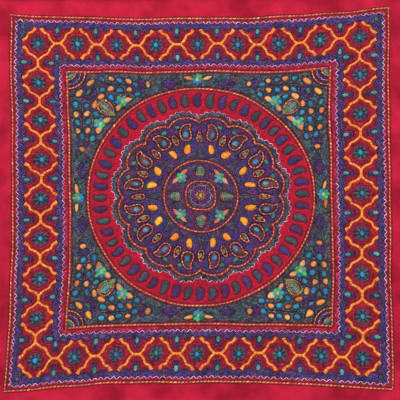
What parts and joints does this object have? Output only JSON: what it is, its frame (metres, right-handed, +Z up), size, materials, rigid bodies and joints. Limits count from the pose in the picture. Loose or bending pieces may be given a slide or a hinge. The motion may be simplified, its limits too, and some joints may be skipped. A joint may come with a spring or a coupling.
{
  "type": "embroidered tablecloth",
  "caption": "Square red wool tablecloth with a narrow hem, embroidered all over with wool yarn: scalloped round medallion, paisleys, corner sprays and a rosette border.",
  "frame": {"origin": "on the surface that the cloth lies on, under the middle of its outline's box", "axes": "+X along the cloth's width to the right, +Y along its length away from the viewer, +Z up through the worked face"},
  "size_m": [0.6418, 0.6308, 0.0058],
  "materials": {
    "cloth": "matt woollen twill with raised wool embroidery"
  },
  "bodies": {
    "root": {"cloth": "cloth"}
  },
  "joints": []
}
